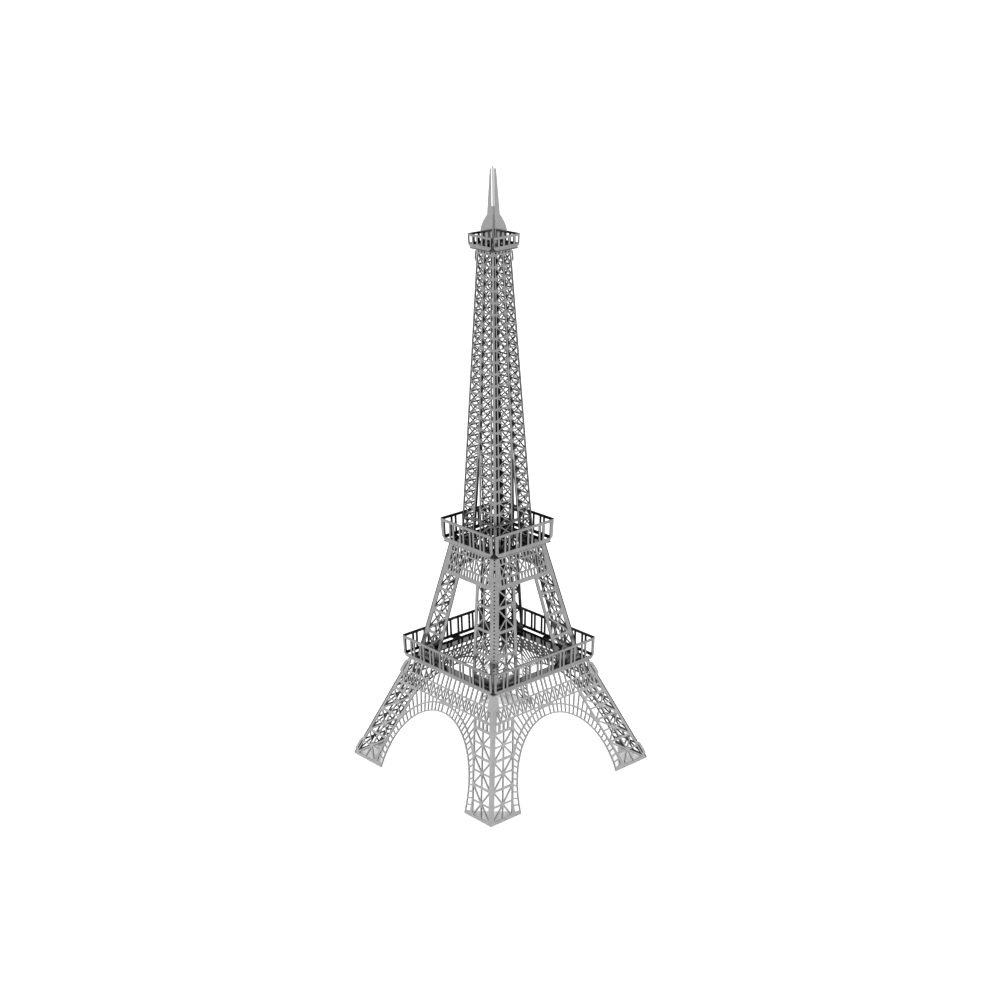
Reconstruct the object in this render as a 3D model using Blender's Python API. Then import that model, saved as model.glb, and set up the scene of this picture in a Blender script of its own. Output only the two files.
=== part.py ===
"""Miniature lattice tower of folded sheet steel.

Three tapering stages of pierced sheet, each made of a front and a back shell
folded along one corner, stand on each other through three railed decks, and
two crossed plates make the spire.  Shells, rails and plates are held by tabs
in slots.  Metres, +Z up; the origin is on the table, under the tower's axis.
"""
import math
from typing import NamedTuple

import bmesh
import bpy
from mathutils import Matrix, Vector
from mathutils.geometry import delaunay_2d_cdt

MM = 0.001                      # every size below is in millimetres
SHEET = 0.25                    # thickness of every sheet
GAP = 0.1                       # clearance round a tab or between two sheets
CORNER_SET = 0.3                # a rail or a front shell's free edge ends this far from a corner
BACK_SET = 0.05                 # and a back shell's free edge ends this far from it
WELD = 1e-5 * MM                # fold-line points this close are one point

# A stage: foot height, head height, half-width at the foot, half-width at the head.
LOWER = (0.1, 25.4, 24.8, 14.87)
MIDDLE = (25.85, 54.4, 13.55, 7.76)
UPPER = (54.85, 122.1, 5.84, 2.6)

# A deck: underside height, half-width of the plate, half-width of its opening.
FIRST_DECK = (25.5, 15.35, 12.2)
SECOND_DECK = (54.5, 8.7, 5.0)
TOP_DECK = (122.2, 3.72, 0.0)


class Rail(NamedTuple):
    """A rail panel.  Its wide openings stand in a row with pairs of posts between."""
    foot_z: float
    height: float
    half: float                 # half-width at the foot
    flare: float                # how far the head leans out
    openings: int
    opening: float              # width of one of them
    post: float
    end: float                  # from the last opening to the corner line
    low_band: float
    high_band: float
    bevel: float                # of the lower corners


FIRST_RAIL = Rail(foot_z=25.98, height=5.07, half=15.84, flare=0.16, openings=9,
                  opening=1.85, post=0.52, end=0.95, low_band=0.75, high_band=0.65, bevel=0.7)
SECOND_RAIL = Rail(foot_z=54.98, height=5.22, half=9.06, flare=0.22, openings=5,
                   opening=1.78, post=0.5, end=1.2, low_band=0.85, high_band=0.65, bevel=1.0)
TOP_RAIL = Rail(foot_z=122.68, height=2.82, half=4.0, flare=0.11, openings=5,
                opening=1.0, post=0.25, end=0.5, low_band=0.72, high_band=0.5, bevel=0.45)
NARROW_LEAST = 0.3              # a narrower gap between a pair of posts stays solid
RAIL_FOOT = (0.6, 0.07, 0.8)    # a foot's place and half-width, as shares of the rail's
                                # half-width, and how far it reaches in over the deck

EDGE_STRIP = 0.85               # solid strip along a lower corner
BAR = 0.32                      # bracing bar
CROSS_BAR = 0.6                 # level bar between two bays

# Lower stage: the arch is half an ellipse about a centre just below the table.
ARCH_HALF = 15.1
ARCH_RISE = 18.3
ARCH_CENTRE_Z = -1.0
ARCH_ASIDE = 1.1                # the crown sits this far from the middle, towards the fold
ARCH_LINE = 0.3                 # thin line round the opening
RING_DEPTH = 1.3                # clear depth of the ring's cells
RING_CELLS = 17
SPANDREL_RAYS = (50, 55, 60.5, 67, 74)
LEG_LINE = (18.45, 0.4555)      # inner leg strip: half-width at the table, lean
LEG_STRIP = 0.44
LEG_BARS = (0.7, 6.55, 12.25, 17.7)
CHORDS = (19.65, 22.5)          # level chords under and over the truss
CHORD = 0.4
BALUSTER_TOP = 25.0
TRUSS_PANELS = 7
BALUSTERS = 11

# Middle stage.
MIDDLE_STRIP = 1.3
MIDDLE_INNER = 0.85
MIDDLE_DOOR = (2.95, 47.15, 0.153)      # half-width at its head, head height, lean
MIDDLE_BARS = (27.35, 32.6, 37.9, 43.2, 47.6)
MIDDLE_SLOTS = (48.05, 49.5)
MIDDLE_TRUSS = (49.8, 52.5)
MIDDLE_TOP_ROW = (52.75, 53.75)

# Upper stage.
UPPER_STRIP = 0.5
UPPER_BAYS = 11
UPPER_SPLIT_Z = 78.4            # below this the two columns of a face part
UPPER_SPLIT_LEAN = 0.067
UPPER_TIE = (60.6, 61.5)        # level tie across the split

# Spire: half-width and height of its corner points.
SPIRE_FOOT = (2.7, 122.55)
SPIRE_BULB = (2.88, 126.2)
SPIRE_NECK = (1.4, 129.6)
SPIRE_END = (0.7, 139.4)
SPIRE_TIP = (0.14, 140.0)
SPIRE_SWELL = 1.6               # how full the curve from neck to bulb is
SPIRE_CROSS_Z = 131.3           # the plates slot into each other here
SPIRE_SLOT = (0.38, 0.225)      # the wide plate's slot, to the left and right of the axis
SPIRE_FEET = (1.4, 2.2, 0.5)    # a foot's near and far side, its reach below the deck

FOOT_PLATE = (15.9, 24.34)      # reach of a foot plate from the axis, near and far
FOOT_PLATE_CUT = 8.0            # its inner corner is cut off this far along each side
TAB = 1.3                       # width of a tab
TAB_RISE = 0.45                 # how far a tab stands beyond a deck
LOWER_HEAD_TAB = 9.0            # places of the tabs on a face, from its middle line
MIDDLE_FOOT_TAB = 9.6
MIDDLE_HEAD_TAB = 3.6
UPPER_FOOT_TAB = 3.5
UPPER_HEAD_TAB = 1.25
LOWER_TABS = ((1.3, 3.9, 0.5), (21.6, 24.7, 0.65))      # corner tabs of a front shell
UPPER_TABS = ((119.4, 121.9, 0.55),)


# ---------------------------------------------------------------- flat shapes

def crossing(point_a, way_a, point_b, way_b):
    """Where two lines meet, each given by a point and a direction."""
    step = (point_b - point_a).cross(way_b) / way_a.cross(way_b)
    return point_a + way_a * step


def inset(corners, margins):
    """Convex shape, anticlockwise, with side i moved inward by margins[i]."""
    corners = [Vector(corner) for corner in corners]
    sides = []
    for start, end, margin in zip(corners, corners[1:] + corners[:1], margins):
        way = (end - start).normalized()
        sides.append((start + Vector((-way.y, way.x)) * margin, way))
    return [crossing(*sides[i - 1], *sides[i]) for i in range(len(sides))]


def braced(corners, bar=BAR):
    """The four openings that two crossed diagonals leave in a four-sided bay."""
    corners = [Vector(corner) for corner in corners]
    centre = crossing(corners[0], corners[2] - corners[0],
                      corners[1], corners[3] - corners[1])
    return [inset((corners[i], corners[(i + 1) % 4], centre), (0, bar / 2, bar / 2))
            for i in range(4)]


def zigzag(corners, rising, bar=BAR):
    """The two openings that one diagonal leaves in a four-sided bay."""
    a, b, c, d = corners
    if rising:
        return [inset((a, b, c), (0, 0, bar / 2)), inset((a, c, d), (bar / 2, 0, 0))]
    return [inset((a, b, d), (0, bar / 2, 0)), inset((b, c, d), (0, 0, bar / 2))]


def box(left, right, low, high):
    return [Vector((left, low)), Vector((right, low)),
            Vector((right, high)), Vector((left, high))]


def mirrored(loops):
    """The loops' mirror images across the face's middle line."""
    return [[Vector((-point.x, point.y)) for point in reversed(loop)] for loop in loops]


def both_sides(loops):
    return loops + mirrored(loops)


def bay(inner, outer, low, high):
    """Four corners of a leg bay; inner and outer give the half-width at a height."""
    return [Vector((inner(low), low)), Vector((outer(low), low)),
            Vector((outer(high), high)), Vector((inner(high), high))]


def half_width(stage, z):
    foot_z, head_z, foot, head = stage
    return foot + (head - foot) * (z - foot_z) / (head_z - foot_z)


def fold_side(stage):
    """Right-hand edge of a face along its fold, from foot to head."""
    return [Vector((half_width(stage, z), z)) for z in stage[:2]]


def free_side(stage, tabs, is_front):
    """Left-hand edge of a face from head to foot.  A front shell carries the corner tabs
    there, each a span of heights and how far it is proud, and a back shell clears them."""
    def edge(z, inward):
        return Vector((half_width(stage, z) - inward, z))

    margin = CORNER_SET if is_front else BACK_SET
    points = [edge(stage[0], margin)]
    for low, high, proud in tabs:
        if is_front:
            reach = half_width(stage, (low + high) / 2) + proud
            points += [edge(low, margin), Vector((reach, low)), Vector((reach, high)), edge(high, margin)]
        else:
            low, high = low - GAP, high + GAP
            points += [edge(low, margin), edge(low, CORNER_SET), edge(high, CORNER_SET), edge(high, margin)]
    points.append(edge(stage[1], margin))
    return mirrored([points])[0]


def tab_points(centre, edge_z, tip_z):
    """A tab on a level edge, in the order of growing u."""
    return [Vector((centre - TAB / 2, edge_z)), Vector((centre - TAB / 2, tip_z)),
            Vector((centre + TAB / 2, tip_z)), Vector((centre + TAB / 2, edge_z))]


def head_edge(stage, tab_at, tip_z):
    """Level head of a face from right to left, with a tab each side."""
    points = tab_points(-tab_at, stage[1], tip_z) + tab_points(tab_at, stage[1], tip_z)
    return points[::-1]


# ---------------------------------------------------------------- lower stage

def on_ellipse(grow, angle):
    """Point of the arch's ellipse, grown outward, on a ray from its centre."""
    reach = 1 / math.hypot(math.cos(angle) / (ARCH_HALF + grow),
                           math.sin(angle) / (ARCH_RISE + grow))
    return Vector((reach * math.cos(angle), ARCH_CENTRE_Z + reach * math.sin(angle)))


def leg_line(z, offset=0.0):
    return LEG_LINE[0] - LEG_LINE[1] * z + offset


def ring_angles():
    """Angles of the ring's bars, from the right foot over the top to the left foot."""
    foot = math.asin((LEG_BARS[0] - ARCH_CENTRE_Z) / (ARCH_RISE + ARCH_LINE)) * 1.2
    return [foot + (math.pi - 2 * foot) * i / RING_CELLS for i in range(RING_CELLS + 1)]


def ring_cells():
    """Openings of the ring between the arch line and the leg strip or outer line."""
    cells = []
    angles = ring_angles()
    turn = BAR / 2 / ARCH_RISE
    for start, end in zip(angles, angles[1:]):
        loop = [on_ellipse(ARCH_LINE, start + turn), on_ellipse(ARCH_LINE + RING_DEPTH, start + turn),
                on_ellipse(ARCH_LINE + RING_DEPTH, end - turn), on_ellipse(ARCH_LINE, end - turn)]
        for point in (loop[1], loop[2]):
            limit = leg_line(point.y, -LEG_STRIP / 2)
            if abs(point.x) > limit:
                point.x = math.copysign(limit, point.x)
        cells.append(loop)
    return cells


def spandrel_end(ray):
    """Where a ray from the arch's centre meets the leg strip or the lower chord."""
    centre = Vector((0, ARCH_CENTRE_Z))
    way = Vector((math.cos(ray), math.sin(ray)))
    head = CHORDS[0] - CHORD / 2
    on_chord = crossing(centre, way, Vector((0, head)), Vector((1, 0)))
    strip = Vector((leg_line(0, -LEG_STRIP / 2), 0))
    on_strip = crossing(centre, way, strip, Vector((-LEG_LINE[1], 1)))
    return on_chord if on_chord.length < on_strip.length else on_strip


def spandrel_cells():
    """Openings between the ring, the leg strip and the lower chord, right side."""
    outer = 2 * ARCH_LINE + RING_DEPTH
    head = CHORDS[0] - CHORD / 2
    corner = Vector((leg_line(head, -LEG_STRIP / 2), head))
    corner_ray = math.atan2(corner.y - ARCH_CENTRE_Z, corner.x)
    turn = BAR / 2 / ARCH_RISE
    cells = []
    for low, high in zip(SPANDREL_RAYS, SPANDREL_RAYS[1:]):
        low, high = math.radians(low) + turn, math.radians(high) - turn
        cell = [on_ellipse(outer, low), spandrel_end(low)]
        if low < corner_ray < high:
            cell.append(corner)
        cells.append(cell + [spandrel_end(high), on_ellipse(outer, high)])
    return cells


def towards_fold(loop):
    """A loop of the arch or the legs, moved aside: most on the face's middle line, and
    not at all on its corner lines."""
    def shifted(point):
        share = point.x / half_width(LOWER, point.y)
        return Vector((point.x + ARCH_ASIDE * (1 - share * share), point.y))

    return [shifted(point) for point in loop]


def lower_holes():
    def inner(z):
        return leg_line(z, LEG_STRIP / 2)

    def outer(z):
        return half_width(LOWER, z) - EDGE_STRIP

    holes = []
    for low, high in zip(LEG_BARS, LEG_BARS[1:]):
        lift = CROSS_BAR / 2 if low > LEG_BARS[0] else 0
        holes += both_sides(braced(bay(inner, outer, low + lift, high - CROSS_BAR / 2)))
    row = (LEG_BARS[3] + CHORD / 2, CHORDS[0] - CHORD / 2)
    middle = (inner(row[0]) + outer(row[1])) / 2
    holes += both_sides([box(inner(row[0]), middle - BAR / 2, *row),
                         box(middle + BAR / 2, outer(row[1]), *row)])
    holes += ring_cells() + both_sides(spandrel_cells())
    holes = [towards_fold(loop) for loop in holes]
    truss = (CHORDS[0] + CHORD / 2, CHORDS[1] - CHORD / 2)
    reach = outer(truss[1]) - 0.1
    pitch = 2 * reach / TRUSS_PANELS
    for i in range(TRUSS_PANELS):
        left = -reach + i * pitch
        holes += braced(box(left + 0.2, left + pitch - 0.2, *truss))
    band = (CHORDS[1] + CHORD / 2, BALUSTER_TOP)
    reach = outer(band[1])
    pitch = 2 * reach / BALUSTERS
    for i in range(BALUSTERS):
        left = -reach + i * pitch
        holes.append(box(left + 0.2, left + pitch - 0.2, *band))
    return holes


def lower_outline(is_front):
    foot_z = LOWER[0]
    angle = math.asin((foot_z - ARCH_CENTRE_Z) / ARCH_RISE)
    angles = [angle] + ring_angles() + [math.pi - angle]
    arch = [on_ellipse(0, angle) for angle in reversed(angles)]
    arch[0].y = arch[-1].y = foot_z
    head = head_edge(LOWER, LOWER_HEAD_TAB, FIRST_DECK[0] + SHEET + TAB_RISE)
    return towards_fold(arch) + fold_side(LOWER) + head + free_side(LOWER, LOWER_TABS, is_front)


# --------------------------------------------------------------- middle stage

def middle_holes():
    door, door_z, door_lean = MIDDLE_DOOR

    def inner(z):
        return door + (door_z - z) * door_lean + MIDDLE_INNER

    def outer(z):
        return half_width(MIDDLE, z) - MIDDLE_STRIP

    holes = []
    for low, high in zip(MIDDLE_BARS, MIDDLE_BARS[1:]):
        holes += both_sides(braced(bay(inner, outer, low + CROSS_BAR / 2, high - CROSS_BAR / 2)))
    reach = outer(MIDDLE_TRUSS[1])
    for row, count, post in ((MIDDLE_SLOTS, 9, 0.22), (MIDDLE_TOP_ROW, 7, 0.2)):
        pitch = 2 * reach / count
        for i in range(count):
            left = -reach + i * pitch
            holes.append(box(left + post, left + pitch - post, *row))
    panels = 3
    pitch = 2 * reach / panels
    for i in range(panels):
        left = -reach + i * pitch
        holes += braced(box(left + 0.2, left + pitch - 0.2, *MIDDLE_TRUSS))
    return holes


def middle_outline(is_front):
    foot_z = MIDDLE[0]
    door, door_z, door_lean = MIDDLE_DOOR
    door_foot = door + (door_z - foot_z) * door_lean
    leg = [Vector((door, door_z)), Vector((door_foot, foot_z))]
    leg += tab_points(MIDDLE_FOOT_TAB, foot_z, FIRST_DECK[0] - TAB_RISE)
    head = head_edge(MIDDLE, MIDDLE_HEAD_TAB, SECOND_DECK[0] + SHEET + TAB_RISE)
    return mirrored([leg])[0] + leg + fold_side(MIDDLE) + head + free_side(MIDDLE, (), is_front)


# ---------------------------------------------------------------- upper stage

def split_half(z):
    return max(0.0, (UPPER_SPLIT_Z - z) * UPPER_SPLIT_LEAN)


def upper_holes():
    foot_z, head_z = UPPER[0] + 0.3, UPPER[1] - 0.9

    def inner(z):
        return split_half(z) + UPPER_STRIP * (0.6 if z > UPPER_SPLIT_Z else 0.9)

    def outer(z):
        return half_width(UPPER, z) - UPPER_STRIP

    holes = []
    pitch = (head_z - foot_z) / UPPER_BAYS
    for i in range(UPPER_BAYS):
        low, high = foot_z + i * pitch + 0.25, foot_z + (i + 1) * pitch - 0.25
        holes += both_sides(zigzag(bay(inner, outer, low, high), i % 2 == 0))
    high = UPPER_SPLIT_Z - 4.0
    holes.append([Vector((side * split_half(z), z)) for side, z in
                  ((-1, UPPER_TIE[1]), (1, UPPER_TIE[1]), (1, high), (-1, high))])
    return holes


def upper_outline(is_front):
    foot_z = UPPER[0]
    split_head = UPPER_TIE[0]
    leg = [Vector((split_half(split_head), split_head)), Vector((split_half(foot_z), foot_z))]
    leg += tab_points(UPPER_FOOT_TAB, foot_z, SECOND_DECK[0] - TAB_RISE)
    head = head_edge(UPPER, UPPER_HEAD_TAB, TOP_DECK[0] + SHEET + TAB_RISE)
    return mirrored([leg])[0] + leg + fold_side(UPPER) + head + free_side(UPPER, UPPER_TABS, is_front)


# ---------------------------------------------------------------- folding

def flat_triangles(outline, holes):
    """Triangles of a flat shape with holes: its points, and their index triples."""
    points, faces = [], []
    for loop in [outline] + holes:
        area = sum(a.cross(b) for a, b in zip(loop, loop[1:] + loop[:1]))
        loop = loop if area > 0 else loop[::-1]
        faces.append(list(range(len(points), len(points) + len(loop))))
        points += loop
    points, _, triangles, _, _, sources = delaunay_2d_cdt(points, [], faces, 1, 1e-6)
    return points, [tri for tri, source in zip(triangles, sources) if source == [0]]


def fold_sheet(name, panels, material):
    """One sheet of even thickness from flat panels that share their fold lines.
    A panel is an outline, its holes, and a function that sets a point in space."""
    shape = bmesh.new()
    for outline, holes, place in panels:
        points, triangles = flat_triangles(outline, holes)
        corners = [shape.verts.new(place(point) * MM) for point in points]
        for triangle in triangles:
            shape.faces.new([corners[index] for index in triangle])
    bmesh.ops.remove_doubles(shape, verts=shape.verts, dist=WELD)
    mesh = bpy.data.meshes.new(name)
    shape.to_mesh(mesh)
    shape.free()
    piece = bpy.data.objects.new(name, mesh)
    bpy.context.scene.collection.objects.link(piece)
    piece.data.materials.append(material)
    thicken = piece.modifiers.new("sheet", "SOLIDIFY")
    thicken.thickness = SHEET * MM
    thicken.offset = 0.0
    thicken.use_even_offset = True
    thicken.use_quality_normals = True
    return piece


def quarter_turn(side):
    return Matrix.Rotation(side * math.pi / 2, 3, "Z")


def on_face(stage, side):
    """Sets a flat face in space: side 0 faces -Y, and each next side a quarter on."""
    turn = quarter_turn(side)
    return lambda point: turn @ Vector((point.x, -half_width(stage, point.y), point.y))


def level(height):
    return lambda point: Vector((point.x, point.y, height))


# ---------------------------------------------------------------- pieces

def shell(name, stage, is_front, outline, holes, material):
    """Two faces of a stage, folded along the corner between them.  The outline and the
    holes are those of the first face, whose fold is on its right."""
    first_side = 0 if is_front else 2
    panels = [(outline, holes, on_face(stage, first_side)),
              (mirrored([outline])[0], mirrored(holes), on_face(stage, first_side + 1))]
    return fold_sheet(name, panels, material)


def rail(name, size, side, material):
    """A rail panel with three feet folded inward onto its deck."""
    turn = quarter_turn(side)
    head_z = size.foot_z + size.height
    between = 2 * (size.half - size.end) - size.openings * size.opening
    gap = between / (size.openings - 1)
    narrow = gap - 2 * size.post
    row = (size.foot_z + size.low_band, head_z - size.high_band)
    holes = []
    for i in range(size.openings):
        left = size.end - size.half + i * (size.opening + gap)
        holes.append(box(left, left + size.opening, *row))
        if narrow > NARROW_LEAST and i < size.openings - 1:
            left += size.opening + size.post
            holes.append(box(left, left + narrow, *row))
    foot_at, foot_wide, foot_reach = size.half * RAIL_FOOT[0], size.half * RAIL_FOOT[1], RAIL_FOOT[2]
    end = size.half - CORNER_SET
    bevel_z = size.foot_z + size.bevel
    outline = [Vector((-end, bevel_z)), Vector((size.bevel - end, size.foot_z))]
    for centre in (-foot_at, 0, foot_at):
        outline += [Vector((centre - foot_wide, size.foot_z)),
                    Vector((centre + foot_wide, size.foot_z))]
    outline += [Vector((end - size.bevel, size.foot_z)), Vector((end, bevel_z)),
                Vector((end + size.flare, head_z)), Vector((-end - size.flare, head_z))]

    def stand(point):
        lean = size.flare * (point.y - size.foot_z) / size.height
        return turn @ Vector((point.x, -size.half - lean, point.y))

    def fold_in(point):
        return turn @ Vector((point.x, -size.half - point.y, size.foot_z))

    panels = [(outline, holes, stand)]
    for centre in (-foot_at, 0, foot_at):
        foot = box(centre - foot_wide, centre + foot_wide, -foot_reach, 0)
        panels.append((foot, [], fold_in))
    return fold_sheet(name, panels, material)


def slot_pair(stage, deck_z, tab_at):
    """Slots through a deck for the tabs of a stage, one each side of every face."""
    half = half_width(stage, deck_z + SHEET / 2)
    deep = SHEET / 2 + GAP + 0.12
    slots = []
    for side in range(4):
        turn = Matrix.Rotation(side * math.pi / 2, 2)
        for centre in (-tab_at, tab_at):
            slot = box(centre - TAB / 2 - GAP, centre + TAB / 2 + GAP, -half - deep, -half + deep)
            slots.append([turn @ point for point in slot])
    return slots


def deck(name, size, holes, material):
    """A level square plate with its opening and the slots for its neighbours' tabs."""
    under_z, half, opening = size
    if opening:
        holes = holes + [box(-opening, opening, -opening, opening)]
    return fold_sheet(name, [(box(-half, half, -half, half), holes, level(under_z + SHEET / 2))],
                      material)


def foot_plate(name, side, material):
    """Square plate inside a leg's foot, its inner corner cut off."""
    near, far = FOOT_PLATE
    turn = Matrix.Rotation(side * math.pi / 2, 2)
    cut = near + FOOT_PLATE_CUT
    outline = [Vector((cut, -near)), Vector((near, -cut)), Vector((near, -far)),
               Vector((far, -far)), Vector((far, -near))]
    return fold_sheet(name, [([turn @ point for point in outline], [], level(SHEET / 2))], material)


def spire_half(z):
    """Half-width of the spire plates at a height."""
    if z <= SPIRE_BULB[1]:
        share = (z - SPIRE_FOOT[1]) / (SPIRE_BULB[1] - SPIRE_FOOT[1])
        return SPIRE_FOOT[0] + (SPIRE_BULB[0] - SPIRE_FOOT[0]) * share
    if z <= SPIRE_NECK[1]:
        share = (z - SPIRE_BULB[1]) / (SPIRE_NECK[1] - SPIRE_BULB[1])
        return SPIRE_NECK[0] + (SPIRE_BULB[0] - SPIRE_NECK[0]) * (1 - share ** SPIRE_SWELL)
    share = (z - SPIRE_NECK[1]) / (SPIRE_END[1] - SPIRE_NECK[1])
    return SPIRE_NECK[0] + (SPIRE_END[0] - SPIRE_NECK[0]) * share


def spire_side():
    """Right-hand edge of a spire plate from its foot to its end."""
    curve = [SPIRE_BULB[1] + (SPIRE_NECK[1] - SPIRE_BULB[1]) * i / 8 for i in range(9)]
    return [Vector((spire_half(z), z)) for z in [SPIRE_FOOT[1]] + curve + [SPIRE_END[1]]]


def spire_plate(name, slot_from_top, heading, material):
    """One of two plates that cross on the axis, each with a slot for the other."""
    side = spire_side()
    foot_z, end_z = SPIRE_FOOT[1], SPIRE_END[1]
    near, far, reach = SPIRE_FEET
    tip_z = foot_z - SHEET - reach
    foot = [Vector((near, foot_z)), Vector((near, tip_z)), Vector((far, tip_z)), Vector((far, foot_z))]
    if slot_from_top:
        left, right = SPIRE_SLOT
        slot = [Vector((right, end_z)), Vector((right, SPIRE_CROSS_Z)),
                Vector((-left, SPIRE_CROSS_Z)), Vector((-left, end_z))]
        outline = foot + side + slot + mirrored([foot + side])[0]
    else:
        mouth = SHEET / 2 + GAP
        slot = [Vector((mouth, SPIRE_CROSS_Z + GAP)), Vector((mouth, foot_z))]
        half = slot + foot + side + [Vector(SPIRE_TIP)]
        outline = half + mirrored([half])[0]
    turn = Matrix.Rotation(heading, 3, "Z")

    def stand(point):
        return turn @ Vector((point.x, 0, point.y))

    return fold_sheet(name, [(outline, [], stand)], material)


def diagonal_slots():
    """Slots in the top deck for the spire plates' feet."""
    near, far = SPIRE_FEET[:2]
    slots = []
    for corner in range(4):
        turn = Matrix.Rotation(math.pi / 4 + corner * math.pi / 2, 2)
        slot = box(near - GAP, far + GAP, -SHEET / 2 - GAP, SHEET / 2 + GAP)
        slots.append([turn @ point for point in slot])
    return slots


def steel(name, shade, roughness):
    material = bpy.data.materials.new(name)
    material.use_nodes = True
    surface = material.node_tree.nodes["Principled BSDF"]
    surface.inputs["Base Color"].default_value = (shade, shade, shade * 1.01, 1)
    surface.inputs["Metallic"].default_value = 1.0
    surface.inputs["Roughness"].default_value = roughness
    return material


def clear_scene():
    for item in list(bpy.data.objects):
        bpy.data.objects.remove(item, do_unlink=True)


def build():
    clear_scene()
    lattice = steel("satin_lattice", 0.55, 0.4)
    railing = steel("satin_rail", 0.5, 0.38)
    plate = steel("polished_deck", 0.62, 0.15)
    foot = steel("satin_foot", 0.6, 0.35)
    spire = steel("satin_spire", 0.5, 0.38)
    corners = ("front", "right", "back", "left")
    sides = ("front_left", "front_right", "back_right", "back_left")

    stages = (("lower", LOWER, lower_outline, lower_holes()),
              ("middle", MIDDLE, middle_outline, middle_holes()),
              ("upper", UPPER, upper_outline, upper_holes()))
    for stage_name, stage, outline, holes in stages:
        shell(f"{stage_name}_shell_front", stage, True, outline(True), holes, lattice)
        shell(f"{stage_name}_shell_back", stage, False, outline(False), holes, lattice)

    first_slots = (slot_pair(LOWER, FIRST_DECK[0], LOWER_HEAD_TAB)
                   + slot_pair(MIDDLE, FIRST_DECK[0], MIDDLE_FOOT_TAB))
    second_slots = (slot_pair(MIDDLE, SECOND_DECK[0], MIDDLE_HEAD_TAB)
                    + slot_pair(UPPER, SECOND_DECK[0], UPPER_FOOT_TAB))
    top_slots = slot_pair(UPPER, TOP_DECK[0], UPPER_HEAD_TAB) + diagonal_slots()
    floors = (("first", FIRST_DECK, FIRST_RAIL, first_slots),
              ("second", SECOND_DECK, SECOND_RAIL, second_slots),
              ("top", TOP_DECK, TOP_RAIL, top_slots))
    for floor_name, deck_size, rail_size, slots in floors:
        deck(f"{floor_name}_deck", deck_size, slots, plate)
        for side, side_name in enumerate(sides):
            rail(f"{floor_name}_rail_{side_name}", rail_size, side, railing)

    for corner, corner_name in enumerate(corners):
        foot_plate(f"foot_plate_{corner_name}", corner, foot)
    spire_plate("spire_plate_wide", True, math.pi / 4, spire)
    spire_plate("spire_plate_cross", False, -math.pi / 4, spire)


build()
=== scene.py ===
import math

import bmesh
import bpy
from mathutils import Matrix, Vector
from mathutils.geometry import delaunay_2d_cdt


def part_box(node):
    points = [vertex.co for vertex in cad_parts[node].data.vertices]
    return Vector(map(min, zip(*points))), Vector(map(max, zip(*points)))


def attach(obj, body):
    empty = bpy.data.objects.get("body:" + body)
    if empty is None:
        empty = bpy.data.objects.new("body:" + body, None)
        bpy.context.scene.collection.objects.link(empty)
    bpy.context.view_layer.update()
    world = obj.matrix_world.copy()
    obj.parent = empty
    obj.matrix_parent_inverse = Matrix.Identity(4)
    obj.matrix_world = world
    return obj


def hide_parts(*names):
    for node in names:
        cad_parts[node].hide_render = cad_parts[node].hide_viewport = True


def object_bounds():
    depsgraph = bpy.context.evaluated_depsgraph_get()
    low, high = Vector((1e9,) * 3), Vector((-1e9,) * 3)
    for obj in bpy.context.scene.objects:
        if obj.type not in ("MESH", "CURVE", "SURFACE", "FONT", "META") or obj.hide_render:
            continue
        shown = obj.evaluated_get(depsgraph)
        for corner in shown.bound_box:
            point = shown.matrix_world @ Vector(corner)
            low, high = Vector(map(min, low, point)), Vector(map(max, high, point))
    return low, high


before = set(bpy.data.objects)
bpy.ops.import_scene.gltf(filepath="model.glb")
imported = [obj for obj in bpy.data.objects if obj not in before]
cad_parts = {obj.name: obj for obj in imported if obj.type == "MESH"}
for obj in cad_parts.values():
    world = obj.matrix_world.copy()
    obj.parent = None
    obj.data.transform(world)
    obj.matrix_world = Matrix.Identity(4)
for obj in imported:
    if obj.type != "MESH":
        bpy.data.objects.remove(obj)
CAD_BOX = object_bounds()

MM = 0.001                      # sizes below are in millimetres
SHEET = 0.25                    # thickness of every sheet
CORNER_SET = 0.3                # a front shell's free edge stops this far short of the corner
BACK_SET = 0.05                 # and a back shell's edge stops this far short of it
GAP = 0.1                       # clearance of a back shell round a corner tab
WELD = 1e-5 * MM                # points closer than this become one
SAME = 0.001                    # a point is on the fold where x + y is closer to 0 than this
LEVEL = Vector((1, 0))
UPRIGHT = Vector((0, 1))


# ---------------------------------------------------------------- the frame

def fold_ends(node):
    """Foot height, head height, half-width at the foot and at the head of a front
    shell, read from the two ends of its fold, which runs where x = -y."""
    points = [v.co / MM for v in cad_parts[node].data.vertices]
    fold = [p for p in points if abs(p.x + p.y) < SAME and p.x > 0]
    middle = sum(p.z for p in fold) / len(fold)
    foot = [p for p in fold if p.z < middle]
    head = [p for p in fold if p.z > middle]
    foot_end = sum(foot, Vector()) / len(foot)
    head_end = sum(head, Vector()) / len(head)
    return foot_end.z, head_end.z, foot_end.x, head_end.x


LOWER = fold_ends("lower_shell_front")
MIDDLE = fold_ends("middle_shell_front")
UPPER = fold_ends("upper_shell_front")
FIRST_DECK_Z = [corner.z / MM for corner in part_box("first_deck")]
SECOND_DECK_Z = [corner.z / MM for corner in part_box("second_deck")]
TOP_DECK_Z = [corner.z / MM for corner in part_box("top_deck")]


# ---------------------------------------------------------------- flat shapes

def crossing(point_a, way_a, point_b, way_b):
    """Where two lines meet, each given by a point and a direction."""
    step = (point_b - point_a).cross(way_b) / way_a.cross(way_b)
    return point_a + way_a * step


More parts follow.
